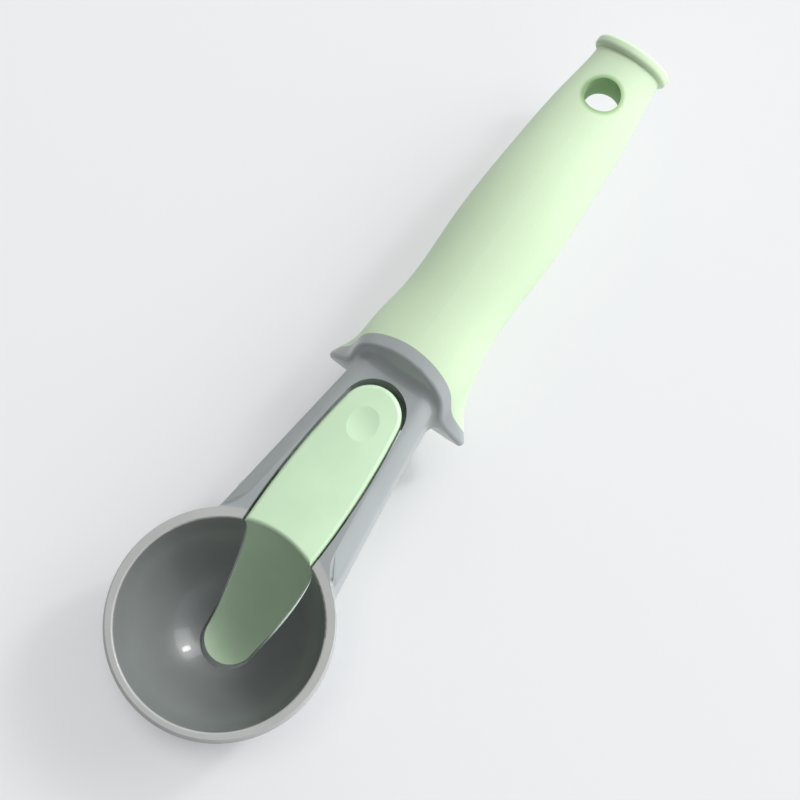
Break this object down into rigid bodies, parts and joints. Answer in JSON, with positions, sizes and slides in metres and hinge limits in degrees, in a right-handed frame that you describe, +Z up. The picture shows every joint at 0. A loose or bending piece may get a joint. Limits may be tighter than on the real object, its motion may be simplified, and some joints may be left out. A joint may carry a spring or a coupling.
{
  "type": "lever ice cream scoop",
  "caption": "Lever ice cream scoop: round bowl with a flush ejector tongue, thumb lever hinged on a pin behind the rim, flared guard and soft oval grip with a hanging hole.",
  "frame": {"origin": "under the middle of the length, level with the lowest point of the bowl, on the plane that halves the scoop", "axes": "+X from the bowl to the handle's end, +Z up out of the bowl's mouth, +Y to the side of the pin's head"},
  "size_m": [0.2192, 0.06, 0.0369],
  "materials": {
    "body": "smooth, semi-gloss grey",
    "core": "plain moulded",
    "grip": "matte soft-touch",
    "lever": "satin",
    "pin": "polished",
    "spring": "drawn wire"
  },
  "bodies": {
    "scoop": {"scoop_body": "body", "handle_core": "core", "grip_sleeve": "grip", "pivot_pin": "pin", "return_spring": "spring"},
    "lever": {"lever": "lever"}
  },
  "joints": [
    {"name": "lever_pivot", "type": "hinge", "parent": "scoop", "child": "lever", "pos_m": [-0.0476, 0, 0.0244], "axis": [0, 1, 0], "range_deg": [0, 12], "stiffness_Nm_per_rad": 0.6, "springref_deg": -14.32, "deforming": ["return_spring"]}
  ]
}
